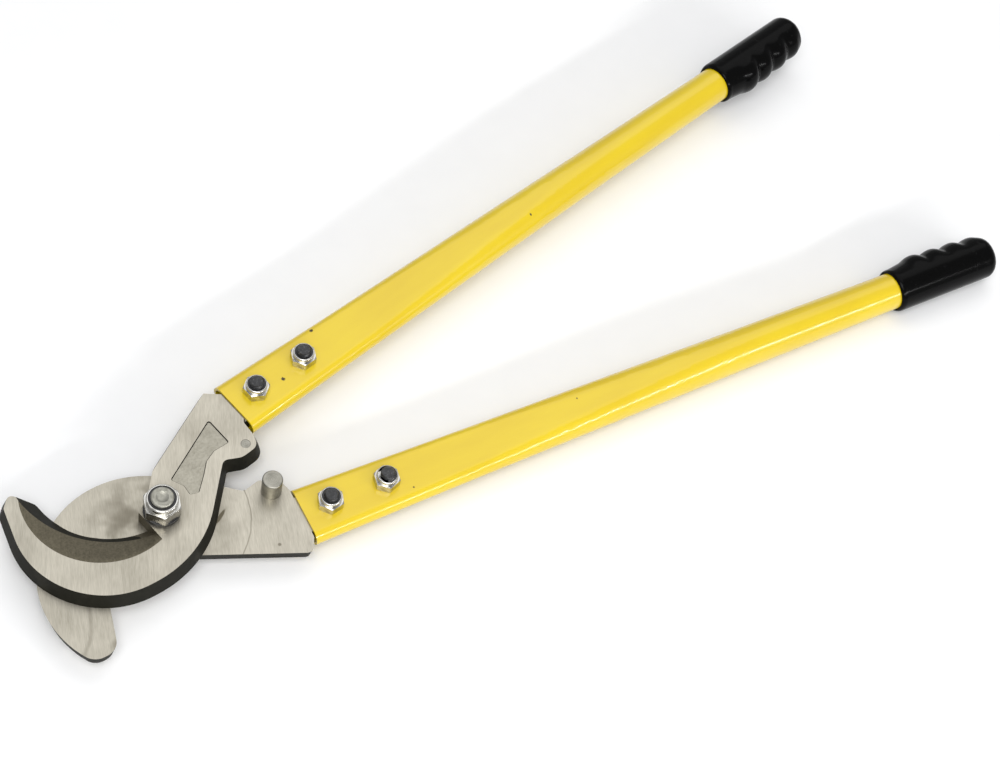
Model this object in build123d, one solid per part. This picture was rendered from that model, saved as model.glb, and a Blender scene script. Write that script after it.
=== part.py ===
from build123d import *
import math
import os

# Long-handled cable cutter. Two forged steel levers cross at one pivot bolt: the hook lever lies on
# top of the beak lever. Origin: centre of the underside of the pivot bolt's head. +Z runs up the
# pivot axis, +X runs along the tool towards the grips, midway between the two handles. Millimetres.
# Each lever is drawn in its own frame: pivot at the origin, handle along +X, blades meeting at Z = 0.

# overall
handle_angle = 15.0          # angle between the two handles at rest
hook_offset = 34.0           # the hook handle's centre line passes this far from the pivot
beak_offset = 35.2           # and the beak handle's, on the other side
mouth_reach = 91.5           # pivot to the open mouth of each handle tube
tube_length = 583.0          # mouth to the tube's far end
grip_start = 498.0           # mouth to the start of the grip

# handle tube
mouth_width = 43.8
mouth_height = 14.0          # outside height where the tube is pressed flat
mouth_corner = 6.9           # outside corner radius of the flattened stretch
flat_length = 80.0           # length of the stretch that stays flat
flat_width = 40.4            # width at the end of the flat stretch
round_start = 360.0          # from here on the tube is round
round_start_dia = 30.4
straight_start = 484.0       # the taper ends here, just before the grip
tube_dia = 28.0              # at the grip
tube_wall = 2.0
flare_steps = 5              # sections in the stretch that swells from flat to round

# blades
hook_thick = 12.0
beak_thick = 10.0
hook_draft = 3.5             # the hook's walls lean in by this much over its thickness
beak_draft = 2.0
tang_end = 76.0              # how far each tang runs into its tube
tang_side_gap = 0.5
shoulder_gap = 1.0           # blade shoulder to tube mouth
facet_centre = (-0.4, 57.0)  # of the steep facet beside the hook's cutting edge
facet_radius = 59.8
facet_slope = 0.96           # run over rise
bevel_foot_centre = (-17.8, 35.9)   # the hook's broad bevel, where it meets the steep facet
bevel_foot_radius = 33.0
bevel_foot_height = 4.0
bevel_top_centre = (-21.8, 38.6)
bevel_top_radius = 56.5
bevel_end_gap = 0.2          # between the bevel's end and the pivot washer
bevel_end_corner = 4.0
beak_bevel_centre = (-12.5, -57.0)
beak_edge_radius = 45.5      # of the bevel at the hollow part of the beak's cutting edge
beak_bevel_width = 9.0       # ground off the underside, along the cutting edge
beak_bevel_end_x = -24.0
beak_edge_land = 1.0         # height left square at the cutting edge
panel_depth = 0.8
panel_corner = 1.6

# stop pin and dowel
pin_dia = 14.5
pin_setback = 12.4           # the pin stands this much nearer the pivot than the tube's mouth
pin_bearing = -6.9           # degrees, in the beak lever's frame
pin_height = 16.5            # above the beak blade's face
pin_chamfer = 0.6
pin_seat = 8.0               # pressed this deep into the beak blade
dowel_dia = 7.0
dowel_setback = 12.9
dowel_y = 5.6
dowel_depth = 9.0

# pivot bolt, washer and lock nut
pivot_dia = 16.0
pivot_flats = 1.5 * pivot_dia
pivot_head = 10.0
pivot_hex = 9.5              # height of the nut's hexagon
pivot_nut_height = 14.4
pivot_end = 2.0              # bolt end past the nut
pivot_clearance = 0.05       # radial, so that the hook lever can turn on the bolt
pivot_nut_turn = 8.0
washer_rim = 1.0             # past the nut's flats
washer_thick = 3.2

# handle bolts and lock nuts
bolt_dia = 10.0
bolt_flats = 1.7 * bolt_dia
bolt_head = 6.4
bolt_hex = 6.6
bolt_nut_height = 10.0
bolt_end = 3.0
bolt_clearance = 0.25        # radial
bolt_first = 20.0            # mouth to the first handle bolt
bolt_spacing = 43.6
nut_turns = {                # degrees
    "hook_bolt_front": 30.0,
    "hook_bolt_rear": 0.0,
    "beak_bolt_front": 12.0,
    "beak_bolt_rear": 20.0,
}

# lock nut details
collar_inset = 0.85          # the turned collar inside the flats
collar_round = 0.9
ring_wall = 1.7              # radial thickness of the nylon ring
ring_height = 2.6
ring_sink = 0.5              # below the collar's rim
nut_corner_low = 0.5         # height of the turned-down corners under the nut
nut_corner_high = 0.6
head_corner = 0.6
bolt_chamfer = 0.8
dimple_radius = 10.0
dimple_depth = 1.1

# grips
grip_dia = 34.0
grip_wall_end = 6.0
grip_round = 7.0
grip_lip = 1.8
bump_first = 27.5            # grip's start to the first of the raised bumps between the fingers
bump_pitch = 17.5
bump_rises = (3.5, 2.7, 1.8)
groove_place = 71.5          # the hollow behind the last bump
groove_radius = 8.0
groove_depth = 1.0

# derived
face_z = pivot_head + beak_thick            # where the two blades meet, above the bolt head's underside
hook_mid = hook_thick / 2
beak_mid = -beak_thick / 2
hook_handle = Pos(0, hook_offset, hook_mid)
beak_handle = Pos(0, -beak_offset, beak_mid)
tang_thick = mouth_height - 2 * tube_wall
shoulder = mouth_reach - shoulder_gap
washer_dia = pivot_flats + 2 * washer_rim
grip_length = tube_length + grip_wall_end - grip_start
beyond = 300.0                              # larger than either blade, for cutting tools


def to_hook(shape):
    """From the hook lever's frame to the object's frame."""
    return Pos(0, 0, face_z) * Rot(0, 0, handle_angle / 2) * shape


def to_beak(shape):
    """From the beak lever's frame to the object's frame."""
    return Pos(0, 0, face_z) * Rot(0, 0, -handle_angle / 2) * shape


def rounded(corners):
    """A closed outline from (x, y, radius) corners."""
    points = [(x, y) for x, y, radius in corners]
    radii = [radius for x, y, radius in corners]
    return make_face(FilletPolyline(*points, radius=radii, close=True))


def hook_outline():
    """The hook blade's top face, drawn straight across the throat."""
    return rounded([
        (-82.6, 67.0, 5), (-102.7, 6.9, 64), (-60.6, -36.5, 61), (-0.1, -45.1, 81),
        (shoulder - 32.5, 5.0, 5), (shoulder - 20.5, -1.4, 11), (shoulder - 6.4, -0.9, 7),
        (shoulder - 2.9, 7.4, 10), (shoulder - 1.9, hook_offset - 14, 2),
        (shoulder, hook_offset - 12, 0.4), (shoulder, hook_offset + 13.5, 0.6),
        (shoulder - 9.3, hook_offset + 21.5, 1.2), (-26.0, 11.7, 2), (-74.0, 73.5, 3.5),
    ])


def hook_throat():
    """Plan of the open throat, from the pivot boss round the cutting edge and past the tip."""
    return rounded([
        (28.0, 40.5, 1), (-0.8, 14.8, 5), (-21.4, 4.5, 3.5), (-54.8, 19.2, 40), (-62.8, 78.0, 2.4),
        (-77.5, 75.0, 15), (-90.0, 78.5, 3), (-60.0, 120.0, 3),
    ])


def lifted_circle(centre, radius, height):
    return Pos(centre[0], centre[1], height) * Circle(radius)


def hook_bevels():
    """Ground away above the hook's cutting edge: a steep facet and a broad shallow bevel."""
    facet_foot = lifted_circle(facet_centre, facet_radius, 0)
    facet_top = lifted_circle(facet_centre, facet_radius + facet_slope * hook_thick, hook_thick)
    bevel_foot = lifted_circle(bevel_foot_centre, bevel_foot_radius, bevel_foot_height)
    bevel_top = lifted_circle(bevel_top_centre, bevel_top_radius, hook_thick)
    end = -washer_dia / 2 - bevel_end_gap
    reach = Pos(end - beyond / 2, 0, hook_thick / 2) * Box(beyond, beyond, 3 * hook_thick)
    reach = fillet(reach.edges().filter_by(Axis.Z).group_by(Axis.X)[-1], bevel_end_corner)
    facet = loft([facet_foot, facet_top], ruled=True) & reach
    bevel = loft([bevel_foot, bevel_top], ruled=True) & reach
    return facet + bevel


def hook_panel():
    """The shallow sunk panel between the pivot and the tang."""
    panel = rounded([
        (shoulder - 20, 36.5, panel_corner), (shoulder - 20, 13.6, panel_corner),
        (57.5, 14.4, panel_corner), (48.5, 11.3, panel_corner), (40.5, 4.2, panel_corner),
        (29.0, -4.6, panel_corner), (22.8, -2.2, panel_corner), (23.8, 6.0, panel_corner),
        (19.6, 15.2, panel_corner),
    ])
    return Pos(0, 0, hook_thick - panel_depth) * extrude(panel, 2 * panel_depth)


def tang():
    """The tongue that a tube is clamped on, about the handle's centre line."""
    start = shoulder - 1
    end = mouth_reach + tang_end
    corner = mouth_corner - tube_wall
    start_half = mouth_width / 2 - tube_wall - corner - tang_side_gap
    end_half = flat_width / 2 - tube_wall - corner - tang_side_gap
    corners = [(start, -start_half), (end, -end_half), (end, end_half), (start, start_half)]
    plan = make_face(Polyline(*corners, close=True))
    return Pos(0, 0, -tang_thick / 2) * extrude(plan, tang_thick)


def bolt_places():
    first = mouth_reach + bolt_first
    return [first, first + bolt_spacing]


def bolt_holes():
    """What is drilled through a tube and its tang, about the handle's centre line."""
    drill = Cylinder(bolt_dia / 2 + bolt_clearance, 6 * hook_thick)
    return Part() + [Pos(x, 0, 0) * drill for x in bolt_places()]


def drafted(face, height, draft):
    """A plate whose walls lean in by draft over its height, from a face at Z = 0."""
    return extrude(face, height, taper=math.degrees(math.atan2(draft, height)))


def hook_blade():
    plate = drafted(offset(hook_outline(), hook_draft, kind=Kind.INTERSECTION), hook_thick, hook_draft)
    plate = plate - extrude(hook_throat(), 3 * hook_thick, both=True)
    plate = plate - hook_bevels() - hook_panel()
    plate = plate - Pos(shoulder + beyond / 2, 0, 0) * Box(beyond, 2 * beyond, beyond)
    plate = plate + hook_handle * tang()
    plate = plate - Cylinder(pivot_dia / 2 + pivot_clearance, 4 * hook_thick)
    plate = plate - hook_handle * bolt_holes()
    return to_hook(plate - dowel())


def beak_outline():
    """The beak blade's upper face, its widest section."""
    return rounded([
        (-45.5, 56.2, 71), (-116.8, -28.7, 72), (-82.4, -80.8, 12.5), (-64.8, -78.6, 11),
        (-52.0, -22.0, 44), (-16.0, -9.0, 9), (3.0, -31.9, 20), (shoulder - 5.9, -beak_offset - 29.5, 5),
        (shoulder, -beak_offset - 18.8, 5), (shoulder, -beak_offset + 21.2, 6),
        (shoulder - 3.5, -3.0, 6), (shoulder - 17, 1.5, 6), (shoulder - 29.5, -2.2, 4), (20.0, 28.5, 30),
    ])


def pin_place():
    bearing = math.radians(pin_bearing)
    radius = mouth_reach - pin_setback
    return Pos(radius * math.cos(bearing), radius * math.sin(bearing), 0)


def beak_bevel():
    """The material ground away below the beak's cutting edge."""
    edge = lifted_circle(beak_bevel_centre, beak_edge_radius, -beak_edge_land)
    bottom = lifted_circle(beak_bevel_centre, beak_edge_radius + beak_bevel_width, -beak_thick)
    reach = Pos(beak_bevel_end_x - beyond / 2, 0, 0) * Box(beyond, beyond, beyond)
    return loft([edge, bottom], ruled=True) & reach


def beak_blade():
    plate = mirror(drafted(beak_outline(), beak_thick, beak_draft), about=Plane.XY)
    plate = plate - beak_bevel()
    plate = plate + beak_handle * tang()
    plate = plate - Cylinder(pivot_dia / 2, 4 * hook_thick)
    plate = plate - beak_handle * bolt_holes()
    plate = plate - pin_place() * Cylinder(pin_dia / 2, 2 * pin_seat)
    return to_beak(plate)


def upright(radius, low, high):
    return Pos(0, 0, (low + high) / 2) * Cylinder(radius, high - low)


def stop_pin():
    pin = upright(pin_dia / 2, -pin_seat, pin_height)
    pin = chamfer(pin.edges().sort_by(Axis.Z)[-1], pin_chamfer)
    return to_beak(pin_place() * pin)


def dowel():
    place = Pos(mouth_reach - dowel_setback, dowel_y, 0)
    return place * upright(dowel_dia / 2, hook_thick - dowel_depth, hook_thick)


def tube_section(reach, width, height, inset):
    """One rounded section of the tube, square to the handle, inset by the wall for the bore."""
    plane = Plane(origin=(mouth_reach + reach, 0, 0), x_dir=(0, 1, 0), z_dir=(1, 0, 0))
    corner = mouth_corner / mouth_height * height
    return plane * RectangleRounded(width - 2 * inset, height - 2 * inset, corner - inset)


def tube_solid(inset, overrun):
    """The tube's outside, or its bore when inset by the wall. It starts flat and swells to round."""
    mouth = tube_section(-overrun, mouth_width, mouth_height, inset)
    flat = loft([mouth, tube_section(flat_length, flat_width, mouth_height, inset)], ruled=True)
    flare = []
    for i in range(flare_steps + 1):
        t = i / flare_steps
        swell = t * t * (3 - 2 * t)
        reach = flat_length + (round_start - flat_length) * t
        width = flat_width + (round_start_dia - flat_width) * t
        height = mouth_height + (round_start_dia - mouth_height) * swell
        flare.append(tube_section(reach, width, height, inset))
    taper_end = tube_section(straight_start, tube_dia, tube_dia, inset)
    taper_start = tube_section(round_start, round_start_dia, round_start_dia, inset)
    taper = loft([taper_start, taper_end], ruled=True)
    length = tube_length + overrun - straight_start
    middle = mouth_reach + straight_start + length / 2
    straight = Pos(middle, 0, 0) * Rot(0, 90, 0) * Cylinder(tube_dia / 2 - inset, length)
    return flat + loft(flare) + taper + straight


def handle_tube():
    return tube_solid(0, 0) - tube_solid(tube_wall, 1) - bolt_holes()


def grip(inward):
    """A sleeve with a closed, rounded end and raised bumps on the side facing the other handle."""
    start = mouth_reach + grip_start
    radius = grip_dia / 2
    body = Rot(0, 90, 0) * Cylinder(radius, grip_length)
    body = fillet(body.edges().sort_by(Axis.X)[-1], grip_round)
    body = fillet(body.edges().sort_by(Axis.X)[0], grip_lip)
    body = Pos(start + grip_length / 2, 0, 0) * body
    for i, rise in enumerate(bump_rises):
        body = body + Pos(start + bump_first + i * bump_pitch, inward * rise, 0) * Sphere(radius)
    groove_y = inward * (radius - groove_depth + groove_radius)
    body = body - Pos(start + groove_place, groove_y, 0) * Cylinder(groove_radius, 2 * grip_dia)
    bore_length = tube_length - grip_start
    bore = Rot(0, 90, 0) * Cylinder(tube_dia / 2, bore_length + 2)
    return body - Pos(start + bore_length / 2 - 1, 0, 0) * bore


def hexagon(flats, height, corner_low, corner_high):
    """A hexagon bar on Z = 0 with its corners turned down at one or both ends, at 30 degrees."""
    turned = upright(flats / math.sqrt(3), 0, height)
    run = math.sqrt(3)
    if corner_low:
        turned = chamfer(turned.edges().sort_by(Axis.Z)[0], corner_low, run * corner_low)
    if corner_high:
        turned = chamfer(turned.edges().sort_by(Axis.Z)[-1], corner_high, run * corner_high)
    return extrude(RegularPolygon(flats / 2, 6, major_radius=False), height) & turned


def lock_nut(dia, flats, hex_height, height):
    """A prevailing-torque nut on Z = 0: hexagon, turned collar, and the seat for its nylon ring."""
    collar = upright(flats / 2 - collar_inset, 0, height)
    collar = fillet(collar.edges().sort_by(Axis.Z)[-1], collar_round)
    nut = hexagon(flats, hex_height, nut_corner_low, nut_corner_high) + collar
    seat = upright(dia / 2 + ring_wall, height - ring_sink - ring_height, height + 1)
    return nut - upright(dia / 2, -1, height + 1) - seat


def nut_ring(dia, height):
    """The black nylon ring, a little below the collar's rim."""
    low = height - ring_sink - ring_height
    high = height - ring_sink
    return upright(dia / 2 + ring_wall, low, high) - upright(dia / 2, 0, height + 1)


def hex_bolt(dia, flats, head, length):
    """A bolt whose head bears on Z = 0 from below."""
    shank = upright(dia / 2, 0, length)
    shank = chamfer(shank.edges().sort_by(Axis.Z)[-1], bolt_chamfer)
    return Pos(0, 0, -head) * hexagon(flats, head, head_corner, 0) + shank


def lever_parts(name, place, handle, inward):
    """The tube, grip, bolts, nuts and nylon rings of one lever."""
    def to_object(shape):
        return place(handle * shape)

    pieces = {name + "_handle_tube": to_object(handle_tube()), name + "_grip": to_object(grip(inward))}
    length = mouth_height + bolt_nut_height + bolt_end
    for x, end in zip(bolt_places(), ("front", "rear")):
        bolt_name = name + "_bolt_" + end
        turn = Rot(0, 0, nut_turns[bolt_name])
        under = Pos(x, 0, -mouth_height / 2) * turn
        over = Pos(x, 0, mouth_height / 2) * turn
        pieces[bolt_name] = to_object(under * hex_bolt(bolt_dia, bolt_flats, bolt_head, length))
        nut = lock_nut(bolt_dia, bolt_flats, bolt_hex, bolt_nut_height)
        pieces[name + "_nut_" + end] = to_object(over * nut)
        pieces[name + "_nut_ring_" + end] = to_object(over * nut_ring(bolt_dia, bolt_nut_height))
    return pieces


def pivot_parts():
    washer_z = face_z + hook_thick
    nut_z = washer_z + washer_thick
    length = beak_thick + hook_thick + washer_thick + pivot_nut_height + pivot_end
    turn = Rot(0, 0, pivot_nut_turn)
    dimple = Pos(0, 0, length - dimple_depth + dimple_radius) * Sphere(dimple_radius)
    bolt = hex_bolt(pivot_dia, pivot_flats, pivot_head, length) - dimple
    nut = lock_nut(pivot_dia, pivot_flats, pivot_hex, pivot_nut_height)
    return {
        "pivot_bolt": Pos(0, 0, pivot_head) * turn * bolt,
        "pivot_washer": upright(washer_dia / 2, washer_z, nut_z) - upright(pivot_dia / 2, 0, 2 * nut_z),
        "pivot_nut": Pos(0, 0, nut_z) * turn * nut,
        "pivot_nut_ring": Pos(0, 0, nut_z) * nut_ring(pivot_dia, pivot_nut_height),
    }


pieces = {"hook_blade": hook_blade(), "hook_dowel": to_hook(dowel())}
pieces.update({"beak_blade": beak_blade(), "stop_pin": stop_pin()})
pieces.update(lever_parts("hook", to_hook, hook_handle, -1))
pieces.update(lever_parts("beak", to_beak, beak_handle, 1))
pieces.update(pivot_parts())

os.makedirs("parts", exist_ok=True)
for name, solid in pieces.items():
    solid.label = name
    export_step(solid, "parts/" + name + ".step")
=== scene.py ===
from math import cos, exp, log, pi, radians, sin, sqrt

import bmesh
import bpy
from mathutils import Matrix, Quaternion, Vector


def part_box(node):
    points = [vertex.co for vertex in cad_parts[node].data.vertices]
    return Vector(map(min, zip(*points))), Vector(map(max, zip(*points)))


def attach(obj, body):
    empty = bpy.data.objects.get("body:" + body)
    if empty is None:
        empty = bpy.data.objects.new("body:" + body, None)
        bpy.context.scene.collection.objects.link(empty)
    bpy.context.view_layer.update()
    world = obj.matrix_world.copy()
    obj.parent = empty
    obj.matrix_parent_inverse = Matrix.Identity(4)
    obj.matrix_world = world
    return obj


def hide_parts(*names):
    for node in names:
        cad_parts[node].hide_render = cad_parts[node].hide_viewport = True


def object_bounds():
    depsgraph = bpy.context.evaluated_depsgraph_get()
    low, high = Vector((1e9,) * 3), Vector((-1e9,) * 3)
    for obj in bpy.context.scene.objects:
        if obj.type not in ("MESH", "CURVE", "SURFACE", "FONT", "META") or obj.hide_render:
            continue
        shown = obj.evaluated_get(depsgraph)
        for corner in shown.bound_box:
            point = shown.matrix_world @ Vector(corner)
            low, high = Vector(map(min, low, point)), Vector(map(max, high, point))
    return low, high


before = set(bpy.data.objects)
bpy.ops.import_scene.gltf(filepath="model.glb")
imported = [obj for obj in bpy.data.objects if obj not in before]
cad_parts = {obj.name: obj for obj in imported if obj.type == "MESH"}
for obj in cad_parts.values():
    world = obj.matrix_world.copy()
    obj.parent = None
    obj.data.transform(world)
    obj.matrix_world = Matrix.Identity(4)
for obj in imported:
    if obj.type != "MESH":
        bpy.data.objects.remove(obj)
cad_low, cad_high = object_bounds()

# Long-handled cable cutter: two forged levers, ground bright on their faces, on one pivot bolt, each
# bolted into a yellow steel tube that ends in a black moulded grip. Metres, in the frame of the model.
mm = 0.001

# Viewpoint: the tool lies on its bolt heads and is seen from above the jaws, from outside the hook,
# with the camera rolled so that the handles climb to the right.
view_target = Vector((200.9, 23.7, 20)) * mm
view_distance = 1594 * mm
view_azimuth = radians(-43.4)
view_elevation = radians(56.9)
view_roll = radians(11.1)

viewpoint = bpy.data.objects.new("viewpoint", bpy.data.cameras.new("viewpoint"))
bpy.context.scene.collection.objects.link(viewpoint)
viewpoint.data.sensor_width = 36
viewpoint.data.lens = 79.4
viewpoint.data.shift_x = 0.116
viewpoint.data.shift_y = -0.0104
back = Vector((sin(view_azimuth) * cos(view_elevation),
               -cos(view_azimuth) * cos(view_elevation),
               sin(view_elevation)))
viewpoint.location = view_target + view_distance * back
viewpoint.rotation_mode = "QUATERNION"
viewpoint.rotation_quaternion = back.to_track_quat("Z", "Y") @ Quaternion((0, 0, 1), view_roll)
bpy.context.scene.camera = viewpoint

# Studio: a pale floor, a wide dim soft box that the flat tops reflect, a stronger one in front of the
# jaws that lights the floor, a long low strip beside the handles for the bright line along the tubes,
# and a dim room that leaves something dark for the plated parts to reflect.
bpy.context.scene.view_settings.view_transform = "Standard"
tool_middle = (cad_low + cad_high) / 2


def soft_box(name, size, place, power):
    """An area light of that size, in metres, aimed at the middle of the tool."""
    lamp = bpy.data.objects.new(name, bpy.data.lights.new(name, "AREA"))
    bpy.context.scene.collection.objects.link(lamp)
    lamp.data.shape = "RECTANGLE"
    lamp.data.size, lamp.data.size_y = size
    lamp.data.energy = power
    lamp.location = tool_middle + Vector(place)
    lamp.rotation_mode = "QUATERNION"
    lamp.rotation_quaternion = Vector(place).to_track_quat("Z", "Y")


soft_box("overhead", (2.4, 2.4), (0.9, 0.9, 2.3), 18)
soft_box("front_light", (1.3, 1.3), (-0.9, -0.8, 2.3), 34)
soft_box("low_strip", (2.2, 0.07), (0.1, -1.9, 0.85), 22)
room = bpy.data.worlds.new("room")
bpy.context.scene.world = room
room.use_nodes = True
room.node_tree.nodes["Background"].inputs["Color"].default_value = (0.97, 0.98, 1.0, 1)
room.node_tree.nodes["Background"].inputs["Strength"].default_value = 0.5

floor_mesh = bmesh.new()
bmesh.ops.create_grid(floor_mesh, x_segments=1, y_segments=1, size=6,
                      matrix=Matrix.Translation((tool_middle.x, tool_middle.y, cad_low.z)))
floor = bpy.data.objects.new("floor", bpy.data.meshes.new("floor"))
floor_mesh.to_mesh(floor.data)
bpy.context.scene.collection.objects.link(floor)


# Shader arithmetic for every finish below: a socket that adds a Math node for each operator on it.
class Signal:
    def __init__(self, finish, socket):
        self.finish = finish
        self.socket = socket

    def math(self, operation, *terms):
        return self.finish.node("ShaderNodeMath", {"operation": operation}, dict(enumerate(terms)))

    def __add__(self, other):
        return self.math("ADD", self, other)

    def __sub__(self, other):
        return self.math("SUBTRACT", self, other)

    def __mul__(self, other):
        return self.math("MULTIPLY", self, other)

    def __radd__(self, other):
        return self.math("ADD", other, self)

    def __rsub__(self, other):
        return self.math("SUBTRACT", other, self)

    def __rmul__(self, other):
        return self.math("MULTIPLY", other, self)

    def __abs__(self):
        return self.math("ABSOLUTE", self)

    def clamp(self):
        """Held between 0 and 1."""
        return self.finish.node("ShaderNodeClamp", {}, {"Value": self})

    def step(self, low, high):
        """0 below low, 1 above high, smooth between; falling where low is above high."""
        return self.finish.node("ShaderNodeMapRange", {"interpolation_type": "SMOOTHSTEP"},
                                {"Value": self, "From Min": low, "From Max": high})


class Finish:
    """One material: its nodes are added one call at a time, and surface() ends it."""

    def __init__(self, name):
        self.material = bpy.data.materials.new(name)
        self.material.use_nodes = True
        self.tree = self.material.node_tree
        self.tree.nodes.clear()

    def node(self, kind, settings, inputs, output=0):
        """A node of that kind: its settings first, then the values or links of its sockets."""
        made = self.tree.nodes.new(kind)
        for name, value in settings.items():
            setattr(made, name, value)
        for name, value in inputs.items():
            if isinstance(value, Signal):
                self.tree.links.new(value.socket, made.inputs[name])
            else:
                made.inputs[name].default_value = value
        return Signal(self, made.outputs[output])

    def place(self, turn=0.0, origin=(0, 0, 0), stretch=(1, 1, 1)):
        """The piece's own coordinates about an origin, turned by -turn, then stretched."""
        at = self.node("ShaderNodeTexCoord", {}, {}, "Object")
        centred = self.node("ShaderNodeVectorMath", {"operation": "SUBTRACT"}, {0: at, 1: origin})
        turned = self.node("ShaderNodeMapping", {}, {"Vector": centred, "Rotation": (0, 0, -turn)})
        return self.node("ShaderNodeVectorMath", {"operation": "MULTIPLY"}, {0: turned, 1: stretch})

    def axis(self, vector, name):
        return self.node("ShaderNodeSeparateXYZ", {}, {"Vector": vector}, name)

    def distance(self, vector, centre):
        return self.node("ShaderNodeVectorMath", {"operation": "DISTANCE"},
                         {0: vector, 1: centre}, "Value")

    def noise(self, vector, scale, detail=2.0):
        return self.node("ShaderNodeTexNoise", {}, {"Vector": vector, "Scale": scale, "Detail": detail})

    def mix(self, factor, first, second):
        """From the first colour to the second."""
        return self.node("ShaderNodeMix", {"data_type": "RGBA"}, {0: factor, 6: first, 7: second}, 2)

    def flattened(self, vector):
        """The vector without its height."""
        return self.node("ShaderNodeVectorMath", {"operation": "MULTIPLY"}, {0: vector, 1: (1, 1, 0)})

    def bump(self, height, depth):
        """Relief of that depth, in metres, where height goes from 0 to 1."""
        return self.node("ShaderNodeBump", {}, {"Height": height, "Distance": depth})

    def surface(self, **sockets):
        """Ends the material with one shader; the sockets are named with _ for a space."""
        inputs = {name.replace("_", " "): value for name, value in sockets.items()}
        shader = self.node("ShaderNodeBsdfPrincipled", {}, inputs)
        end = self.tree.nodes.new("ShaderNodeOutputMaterial")
        self.tree.links.new(shader.socket, end.inputs["Surface"])
        return self.material


def pale_paper():
    finish = Finish("pale_paper")
    grain = finish.noise(finish.place(), 40.0)
    colour = finish.mix(grain, (0.86, 0.86, 0.86, 1), (0.89, 0.89, 0.89, 1))
    return finish.surface(Base_Color=colour, Roughness=0.9)


floor.data.materials.append(pale_paper())


# Blades: two forgings of tool steel, ground bright on both faces. The forging scale stays on their
# walls and on the steep facet behind the hook's edge; the hook's broad bevel is milled and oiled brown.
hook_turn = radians(7.5)          # how far each lever is turned about the pivot
beak_turn = radians(-7.5)
blade_meet = Vector((0, 0, 20)) * mm   # the pivot axis where the two ground faces meet
hook_grind = radians(60)          # bearing of the grinding lines
beak_grind = radians(66)
steel_bright = (0.56, 0.525, 0.445, 1)
# dark steel for the beak's marks and for the painted shade round the foot of the hook's pivot washer
steel_dull = (0.27, 0.25, 0.20, 1)
steel_stain_and_shade = (0.115, 0.10, 0.07, 1)
scale_black = (0.006, 0.006, 0.004, 1)
scale_grey = (0.028, 0.026, 0.019, 1)
bevel_brown = (0.065, 0.056, 0.034, 1)
bevel_pale = (0.19, 0.165, 0.115, 1)
panel_dull = (0.20, 0.185, 0.145, 1)
panel_bright = (0.50, 0.475, 0.40, 1)
hook_thick = 12 * mm


def bench_copy(node, rounding, corner=radians(25)):
    """A CAD node's shape as one welded mesh with its sharp corners broken by that much."""
    shape = bmesh.new()
    shape.from_mesh(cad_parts[node].data)
    bmesh.ops.remove_doubles(shape, verts=shape.verts, dist=0.002 * mm)
    bmesh.ops.dissolve_limit(shape, angle_limit=radians(0.3), verts=shape.verts, edges=shape.edges)
    sharp = [edge for edge in shape.edges if edge.is_manifold and edge.calc_face_angle() > corner]
    bmesh.ops.bevel(shape, geom=sharp, offset=rounding, offset_type="OFFSET", affect="EDGES",
                    segments=2, profile=0.5, material=-1, clamp_overlap=True)
    return shape


def finished(shape, name, body, stands_for, finishes):
    """Makes the piece's object from its mesh, with its finishes, and lets it ride on its body."""
    piece = bpy.data.objects.new(name, bpy.data.meshes.new(name))
    bpy.context.scene.collection.objects.link(piece)
    for face in shape.faces:
        face.smooth = True
    shape.to_mesh(piece.data)
    shape.free()
    piece.data.set_sharp_from_angle(angle=radians(50))
    for material in finishes:
        piece.data.materials.append(material)
    flats = piece.modifiers.new("even_flats", "WEIGHTED_NORMAL")
    flats.keep_sharp = True
    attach(piece, body)
    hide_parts(stands_for)


def ground_steel(name, lever_turn, grind, darken):
    """Bright steel with grinding lines on that bearing, darkened where darken(finish, place) is 1:
    painted shade on the hook, marks on the beak.
    """
    finish = Finish(name)
    place = finish.place(lever_turn, blade_meet)
    fine = finish.noise(finish.place(grind, blade_meet, (0.08, 1, 1)), 1900.0, 3.0)
    coarse = finish.noise(finish.place(grind, blade_meet, (0.10, 1, 1)), 520.0, 2.0)
    cloud = finish.noise(place, 28.0, 3.0)
    lines = 0.65 * fine + 0.35 * coarse
    tone = (1.5 * (lines - 0.5) + 1.0 * (cloud - 0.5) + 0.62).clamp()
    colour = finish.mix(tone, steel_dull, steel_bright)
    colour = finish.mix(darken(finish, place), colour, steel_stain_and_shade)
    return finish.surface(Base_Color=colour, Metallic=1.0, Roughness=0.30 + 0.16 * fine,
                          Normal=finish.bump(lines, 0.02 * mm))


def forging_scale():
    """The black skin that forging leaves: mottled, slightly rough, worn grey in patches."""
    finish = Finish("forging_scale")
    at = finish.place()
    mottle = finish.noise(at, 160.0, 4.0)
    pits = finish.noise(at, 900.0, 2.0)
    worn = finish.noise(at, 60.0, 3.0).step(0.56, 0.72)
    colour = finish.mix((0.6 * mottle + 0.6 * worn * pits).clamp(), scale_black, scale_grey)
    return finish.surface(Base_Color=colour, Specular_IOR_Level=0.10, Roughness=0.48 + 0.2 * mottle,
                          Normal=finish.bump(0.7 * mottle + 0.3 * pits, 0.12 * mm))


def milled_bevel():
    finish = Finish("milled_bevel")
    at = finish.place(hook_grind, blade_meet, (0.15, 1, 1))
    speck = finish.noise(finish.place(), 700.0, 3.0)
    streak = finish.noise(at, 600.0, 2.0)
    pale = (1.4 * (0.6 * speck + 0.4 * streak - 0.5) + 0.35).clamp()
    return finish.surface(Base_Color=finish.mix(pale, bevel_brown, bevel_pale), Metallic=0.55,
                          Roughness=0.42 + 0.2 * speck, Normal=finish.bump(speck, 0.05 * mm))


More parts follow.
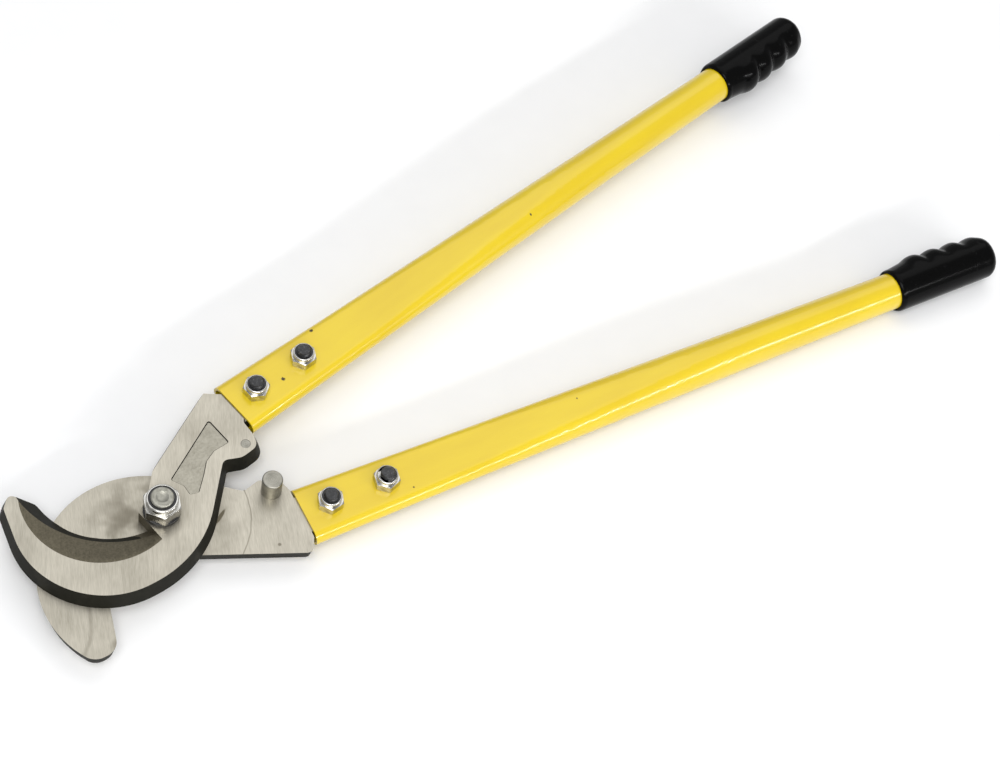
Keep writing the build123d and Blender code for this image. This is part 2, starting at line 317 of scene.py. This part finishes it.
def stippled_panel():
    """The floor of the sunk panel, as it came from the die: small hammered dimples, no grinding."""
    finish = Finish("stippled_panel")
    at = finish.place()
    dimples = finish.noise(at, 520.0, 2.0)
    cloud = finish.noise(at, 120.0, 3.0)
    colour = finish.mix((0.5 * dimples + 0.7 * cloud).clamp(), panel_dull, panel_bright)
    return finish.surface(Base_Color=colour, Metallic=1.0, Roughness=0.36 + 0.12 * cloud,
                          Normal=finish.bump(dimples, 0.35 * mm))


def hook_painted_shade(finish, place):
    """Painted shade: a faint darkening in a smooth ring round the foot of the pivot washer, where the
    nut's shadow falls.
    """
    return 0.35 * finish.distance(place, (0, 0, hook_thick)).step(24 * mm, 13 * mm)


def beak_marks(finish, place):
    """Oil round the pivot, the arc the hook has rubbed, a dark streak, a spot, and marks on the beak's
    tip.
    """
    wander = 3 * mm * (finish.noise(place, 90.0, 2.0) - 0.5)
    reach = finish.distance(place, (0, 0, 0))
    patches = finish.noise(place, 34.0, 3.0).step(0.40, 0.62)
    oil = 0.75 * (reach + 8 * wander).step(62 * mm, 20 * mm) * patches
    x = finish.axis(place, "X")
    rub = 0.5 * abs(reach + 0.4 * wander - 61.5 * mm).step(0.7 * mm, 0.1 * mm) * x.step(20 * mm, 24 * mm)
    # a narrow dark streak, darker along a short line on a bearing of 29 degrees
    along_streak = finish.place(radians(29), Vector((34.8, -19.4, 20)) * mm, (0.17, 1, 1))
    dark_streak = (finish.distance(along_streak, (0, 0, 0)) + 0.5 * wander).step(1.5 * mm, 0.5 * mm)
    from_spot = finish.distance(place, Vector((66.1, -49.8, 0)) * mm) + 0.3 * wander
    spot = 0.7 * from_spot.step(1.7 * mm, 0.7 * mm)
    tip = finish.distance(place, Vector((-118, -38, 0)) * mm)
    swirl = 0.3 * abs(tip + 0.7 * wander - 47 * mm).step(2.6 * mm, 0.2 * mm) * x.step(-60 * mm, -70 * mm)
    burr = 0.45 * finish.distance(place, Vector((-63.5, -76, 0)) * mm).step(7 * mm, 2 * mm)
    return (oil + rub + dark_streak + spot + swirl + burr).clamp()


hook_face = ground_steel("ground_steel_hook", hook_turn, hook_grind, hook_painted_shade)
beak_face = ground_steel("ground_steel_beak", beak_turn, beak_grind, beak_marks)
blade_scale = forging_scale()
bevel_steel = milled_bevel()
panel_steel = stippled_panel()
flat_slope = 0.985       # upward share of the normal: above it a face is ground flat,
bevel_slope = 0.885      # above it the broad bevel, and below it a facet or wall
beak_wall_slope = 0.55   # on the beak, upward or downward: below it a forged wall

boss_reach = 23 * mm     # round the pivot the walls were milled with the bevel
bore_reach = 9 * mm
panel_shade_width = 0.55 * mm   # width of the painted shade line round the panel's floor

hook = bench_copy("hook_blade", 0.25 * mm)
hook_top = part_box("hook_blade")[1].z
sunk = []
for face in hook.faces:
    rise = face.normal.z
    middle = face.calc_center_median()
    if abs(rise) > flat_slope:
        face.material_index = 0
        if rise > 0 and hook_top - 1.2 * mm < middle.z < hook_top - 0.4 * mm:
            sunk.append(face)
    elif rise > bevel_slope or (middle.x < 0 and bore_reach < middle.xy.length < boss_reach):
        face.material_index = 2
    else:
        face.material_index = 1
# Painted shade: a thin ring round the panel's floor gets the black scale, as a dark outline where the
# sunk edge is shaded.
painted_shade_ring = bmesh.ops.inset_region(hook, faces=sunk, thickness=panel_shade_width, use_even_offset=True)["faces"]
for face in painted_shade_ring:
    face.material_index = 1
for face in sunk:
    face.material_index = 3
finished(hook, "hook_blade_ground", "hook_lever", "hook_blade",
         [hook_face, blade_scale, bevel_steel, panel_steel])

beak = bench_copy("beak_blade", 0.25 * mm)
for face in beak.faces:
    face.material_index = 0 if abs(face.normal.z) > beak_wall_slope else 1
finished(beak, "beak_blade_ground", "beak_lever", "beak_blade", [beak_face, blade_scale])


# Stop pin and dowel: turned steel, pressed into the beak blade and flush into the hook's bump. The
# pin's flat top keeps the rings of the facing tool.
def node_middle(node):
    low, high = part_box(node)
    return (low + high) / 2


def turned_steel(name, centre):
    finish = Finish(name)
    at = finish.place(0, centre)
    out = finish.distance(finish.flattened(at), (0, 0, 0))
    ring = finish.noise(finish.node("ShaderNodeCombineXYZ", {}, {"X": out}), 1500.0)
    cloud = finish.noise(at, 150.0, 3.0)
    tone = (0.9 * (ring - 0.5) + 1.1 * (cloud - 0.5) + 0.45).clamp()
    colour = finish.mix(tone, (0.15, 0.145, 0.12, 1), (0.52, 0.50, 0.44, 1))
    return finish.surface(Base_Color=colour, Metallic=1.0, Roughness=0.32 + 0.15 * ring,
                          Normal=finish.bump(ring, 0.03 * mm))


finished(bench_copy("stop_pin", 0.3 * mm), "stop_pin_turned", "beak_lever", "stop_pin",
         [turned_steel("turned_steel_pin", node_middle("stop_pin"))])
finished(bench_copy("hook_dowel", 0.3 * mm), "hook_dowel_flush", "hook_lever", "hook_dowel",
         [turned_steel("turned_steel_dowel", node_middle("hook_dowel"))])


# Pivot: a zinc-plated bolt up through both blades, a blackened washer, and a big lock nut whose rim is
# rolled over a nylon ring. The bolt's end is dished.
def zinc_plate(name, centre, first=(0.36, 0.35, 0.32, 1), second=(0.72, 0.71, 0.68, 1), dull=0.18):
    finish = Finish(name)
    at = finish.place(0, centre)
    cloud = finish.noise(at, 260.0, 3.0)
    grain = finish.noise(at, 1400.0, 2.0)
    colour = finish.mix((2.2 * (cloud - 0.5) + 0.5).clamp(), first, second)
    return finish.surface(Base_Color=colour, Metallic=1.0, Roughness=dull + 0.14 * cloud,
                          Normal=finish.bump(grain, 0.02 * mm))


def nylon():
    finish = Finish("black_nylon")
    grain = finish.noise(finish.place(), 900.0)
    colour = finish.mix(grain, (0.008, 0.008, 0.009, 1), (0.022, 0.022, 0.024, 1))
    return finish.surface(Base_Color=colour, Roughness=0.3 + 0.2 * grain)


def black_oxide():
    finish = Finish("black_oxide")
    at = finish.place()
    cloud = finish.noise(at, 350.0, 3.0)
    worn = finish.noise(at, 800.0, 2.0).step(0.55, 0.75)
    rubbed = (0.5 * cloud + 0.5 * worn).clamp()
    colour = finish.mix(rubbed, (0.018, 0.018, 0.020, 1), (0.15, 0.15, 0.15, 1))
    return finish.surface(Base_Color=colour, Metallic=0.8, Roughness=0.28 + 0.2 * cloud,
                          Normal=finish.bump(cloud, 0.03 * mm))


ring_nylon = nylon()
oxide = black_oxide()
pivot_at = node_middle("pivot_nut")
# Partly painted shade: the washer is a real part, and its black oxide also gives the dark band of shadow
# under the nut.
finished(bench_copy("pivot_washer", 0.2 * mm), "pivot_washer_black", "beak_lever",
         "pivot_washer", [oxide])
finished(bench_copy("pivot_nut", 0.35 * mm), "pivot_nut_plated", "beak_lever", "pivot_nut",
         [zinc_plate("zinc_pivot_nut", pivot_at)])
finished(bench_copy("pivot_nut_ring", 0.25 * mm), "pivot_nut_ring_nylon", "beak_lever",
         "pivot_nut_ring", [ring_nylon])
finished(bench_copy("pivot_bolt", 0.35 * mm), "pivot_bolt_dished", "beak_lever",
         "pivot_bolt",
         [zinc_plate("zinc_pivot_bolt", pivot_at, (0.24, 0.235, 0.20, 1), (0.50, 0.49, 0.43, 1), 0.42)])


# Handles: steel tube, pressed flat and bolted over each blade's tang, swelling to round, under thick
# yellow gloss enamel that has chipped where the tool was knocked.
enamel_yellow = (0.70, 0.52, 0.004, 1)
enamel_deep = (0.62, 0.43, 0.003, 1)
chip_dark = (0.06, 0.045, 0.02, 1)
chips = {"hook": [((133.2, 29.9), 1.7), ((175.9, 49.0), 1.6), ((372.9, 25.0), 0.9)],
         "beak": [((171.0, -47.0), 0.7), ((312.0, -30.0), 0.8)]}


lever_turns = {"hook": hook_turn, "beak": beak_turn}
handle_axes = {"hook": Vector((0, 34.0, 6.0)) * mm, "beak": Vector((0, -35.2, -5.0)) * mm}


def enamel(lever, lever_turn):
    """Sprayed gloss: slight orange peel, a deeper tone where it lies thick, and this lever's chips."""
    finish = Finish("yellow_enamel_" + lever)
    place = finish.place(lever_turn, blade_meet)
    peel = finish.noise(place, 420.0, 2.0)
    run = finish.noise(finish.place(lever_turn, blade_meet, (0.25, 1, 1)), 60.0, 3.0)
    flat = finish.flattened(place)
    ragged = 1.6 * mm * (finish.noise(place, 900.0, 3.0) - 0.5)
    chipped = 0.0
    for (x, y), radius in chips[lever]:
        spot = finish.distance(flat, Vector((x, y, 0)) * mm) + ragged
        chipped = chipped + spot.step(radius * mm, 0.6 * radius * mm)
    middle = handle_axes[lever].z
    above = finish.axis(place, "Z").step(middle, middle + 3 * mm)
    chipped = (chipped * above).clamp()
    dust = finish.noise(place, 1300.0, 2.0).step(0.70, 0.78) * 0.18
    colour = finish.mix((1.5 * (run - 0.5) + 0.35).clamp(), enamel_yellow, enamel_deep)
    colour = finish.mix((chipped + dust).clamp(), colour, chip_dark)
    return finish.surface(Base_Color=colour, Roughness=0.30 + 0.4 * chipped,
                          Coat_Weight=0.5 * (1 - chipped), Coat_Roughness=0.05,
                          Normal=finish.bump(0.35 * peel - chipped, 0.08 * mm))


for lever, turn in lever_turns.items():
    tube = lever + "_handle_tube"
    finished(bench_copy(tube, 0.45 * mm), lever + "_tube_enamelled", lever + "_lever",
             tube, [enamel(lever, turn)])


# Handle fastenings: two black bolts through each tube and tang, from below, each with a bright lock nut
# on top. The ends of the bolts stand out of their nylon rings with the thread showing.
bolt_radius = 5.0 * mm
thread_pitch = 1.5 * mm
thread_depth = 0.9 * mm
thread_steps = 32
thread_start = 1.2 * mm      # below the nut's rim
thread_lead_in = 0.9 * mm    # height of the turned-down end


def everything(shape):
    return shape.verts[:] + shape.edges[:] + shape.faces[:]


def threaded_end(centre, radius, low, high):
    """A length of rod with a rolled thread, cut square below and turned down on top."""
    rod = bmesh.new()
    turns = int((high - low) / thread_pitch) + 3
    foot = low - 1.5 * thread_pitch
    flank = [(radius - thread_depth, 0.0), (radius, 0.42), (radius, 0.58), (radius - thread_depth, 1.0)]
    points = [rod.verts.new((r, 0, foot + share * thread_pitch)) for r, share in flank]
    for lower, upper in zip(points, points[1:]):
        rod.edges.new((lower, upper))
    bmesh.ops.spin(rod, geom=everything(rod), axis=(0, 0, 1), cent=(0, 0, 0), angle=2 * pi * turns,
                   steps=thread_steps * turns, dvec=(0, 0, thread_pitch / thread_steps), use_merge=False)
    bmesh.ops.remove_doubles(rod, verts=rod.verts, dist=0.01 * mm)
    for height, side in ((low, {"clear_inner": True}), (high, {"clear_outer": True})):
        cut = bmesh.ops.bisect_plane(rod, geom=everything(rod), plane_co=(0, 0, height),
                                     plane_no=(0, 0, 1), dist=0.001 * mm, **side)["geom_cut"]
        rim = [part for part in cut if isinstance(part, bmesh.types.BMEdge)]
        bmesh.ops.contextual_create(rod, geom=rim)
    for point in rod.verts:
        across = point.co.xy.length
        most = radius - max(0.0, point.co.z - (high - thread_lead_in))
        if across > most:
            point.co.xy *= most / across
    bmesh.ops.recalc_face_normals(rod, faces=rod.faces)
    bmesh.ops.translate(rod, verts=rod.verts, vec=(centre.x, centre.y, 0))
    return rod


def threaded_bolt(node, nut):
    """The CAD bolt, cut off inside its nut, with a threaded end in its place."""
    bolt = bench_copy(node, 0.3 * mm)
    bolt_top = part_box(node)[1].z
    cut_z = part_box(nut)[1].z - thread_start
    bmesh.ops.bisect_plane(bolt, geom=everything(bolt), plane_co=(0, 0, cut_z), plane_no=(0, 0, 1),
                           dist=0.001 * mm, clear_outer=True)
    bmesh.ops.holes_fill(bolt, edges=[edge for edge in bolt.edges if edge.is_boundary])
    end = threaded_end(node_middle(nut), bolt_radius, cut_z, bolt_top)
    joined = bpy.data.meshes.new("end")
    end.to_mesh(joined)
    end.free()
    bolt.from_mesh(joined)
    bpy.data.meshes.remove(joined)
    return bolt


for lever in ("hook", "beak"):
    body = lever + "_lever"
    for row in ("front", "rear"):
        bolt, nut, ring = (lever + part + row for part in ("_bolt_", "_nut_", "_nut_ring_"))
        finished(threaded_bolt(bolt, nut), bolt + "_threaded", body, bolt, [oxide])
        finished(bench_copy(nut, 0.25 * mm), nut + "_plated", body, nut,
                 [zinc_plate("zinc_" + nut, node_middle(nut))])
        finished(bench_copy(ring, 0.2 * mm), ring + "_nylon", body, ring, [ring_nylon])


# Grips: thick black vinyl sleeves, dip-moulded with a closed end and stretched over the tubes. Soft
# bumps for the fingers stand on the side that faces the other handle, steeper and lower towards the end.
grip_start = 589.5 * mm      # from the pivot, along the handle
grip_length = 91.0 * mm
grip_radius = 17.0 * mm
grip_mouth = 15.0 * mm       # radius where the sleeve begins
grip_lip = 4.0 * mm
grip_dome = 7.5 * mm
sleeve_bore = 14.0 * mm
sleeve_depth = 85.0 * mm
bump_tops = ((27.5, 3.4), (44.7, 2.6), (62.7, 1.7), (79.5, 0.3))     # place and height, in millimetres
bump_rise = 18.0             # radius of the bumps' near sides, in millimetres
bump_fall = 7.5              # and of their far sides
finger_floor = -1.3          # the finger side before the first bump, against the round
ramp_slope = 0.13            # rise towards the first bump
crease = 0.45                # softness of the valleys, in millimetres
finger_side_start = 0.10     # where the relief fades in, going round to the finger side,
finger_side_spread = 0.85    # as the share of the way across
grip_sides = 72
grip_rings = 120


def finger_relief(reach):
    """How far the finger side stands out from the round, in millimetres, that far into the sleeve."""
    levels = [finger_floor]
    if reach < bump_tops[0][0]:
        levels.append(finger_floor + ramp_slope * reach)
    for place, height in bump_tops:
        curve = bump_rise if reach < place else bump_fall
        levels.append(height - (reach - place) ** 2 / (2 * curve))
    return crease * log(sum(exp(level / crease) for level in levels))


def grip_section(reach):
    """Radius of the round side of the sleeve, that far into it."""
    if reach < grip_lip:
        return grip_mouth + (grip_radius - grip_mouth) * sqrt(1 - (1 - reach / grip_lip) ** 2)
    into_dome = max(0.0, reach - (grip_length - grip_dome))
    return grip_radius - grip_dome + sqrt(max(0.0, grip_dome ** 2 - into_dome ** 2))


def moulded_grip(lever, finger_side):
    """The sleeve, drawn from the bottom of its bore to the mouth and back along the outside."""
    sleeve = bmesh.new()
    bmesh.ops.create_circle(sleeve, cap_ends=True, segments=grip_sides, radius=sleeve_bore)
    bmesh.ops.translate(sleeve, verts=sleeve.verts, vec=(0, 0, sleeve_depth))
    inside = [(0.6 * mm, sleeve_bore, 0.0), (0.0, sleeve_bore + 0.4 * mm, 0.0)]
    outside = []
    for ring in range(grip_rings + 1):
        reach = grip_length * (0.5 - 0.5 * cos(pi * ring / grip_rings))
        outside.append((reach, grip_section(reach), finger_relief(reach / mm) * mm / grip_radius))
    rim = [edge for edge in sleeve.edges if edge.is_boundary]
    for reach, radius, relief in inside + outside:
        made = bmesh.ops.extrude_edge_only(sleeve, edges=rim)["geom"]
        rim = [part for part in made if isinstance(part, bmesh.types.BMEdge)]
        fade = min(1.0, reach / grip_lip)
        for point in (part for part in made if isinstance(part, bmesh.types.BMVert)):
            around = Vector((point.co.x, point.co.y, 0)).normalized()
            facing = min(1.0, max(0.0, (around.x - finger_side_start) / finger_side_spread))
            facing = facing * facing * (3 - 2 * facing)
            point.co = radius * (1 + fade * relief * facing) * around + Vector((0, 0, reach))
    bmesh.ops.contextual_create(sleeve, geom=rim)
    bmesh.ops.recalc_face_normals(sleeve, faces=sleeve.faces)
    along_handle = Matrix(((0, 0, 1, 0), (finger_side, 0, 0, 0), (0, finger_side, 0, 0), (0, 0, 0, 1)))
    in_place = (Matrix.Translation(blade_meet) @ Matrix.Rotation(lever_turns[lever], 4, "Z")
                @ Matrix.Translation(handle_axes[lever] + Vector((grip_start, 0, 0))) @ along_handle)
    bmesh.ops.transform(sleeve, matrix=in_place, verts=sleeve.verts)
    return sleeve


def black_vinyl():
    finish = Finish("black_vinyl")
    at = finish.place()
    ripple = finish.noise(at, 70.0, 2.0)
    grain = finish.noise(at, 600.0, 3.0)
    scuff = finish.noise(at, 240.0, 4.0).step(0.60, 0.78)
    worn = (0.4 * grain + 0.6 * scuff).clamp()
    colour = finish.mix(worn, (0.0004, 0.0004, 0.0004, 1), (0.006, 0.006, 0.006, 1))
    return finish.surface(Base_Color=colour, Specular_IOR_Level=0.07,
                          Roughness=0.14 + 0.08 * grain + 0.15 * scuff,
                          Normal=finish.bump(0.8 * ripple + 0.2 * grain, 0.12 * mm))


vinyl = black_vinyl()
for lever, finger_side in (("hook", -1), ("beak", 1)):
    finished(moulded_grip(lever, finger_side), lever + "_grip_moulded", lever + "_lever",
             lever + "_grip", [vinyl])
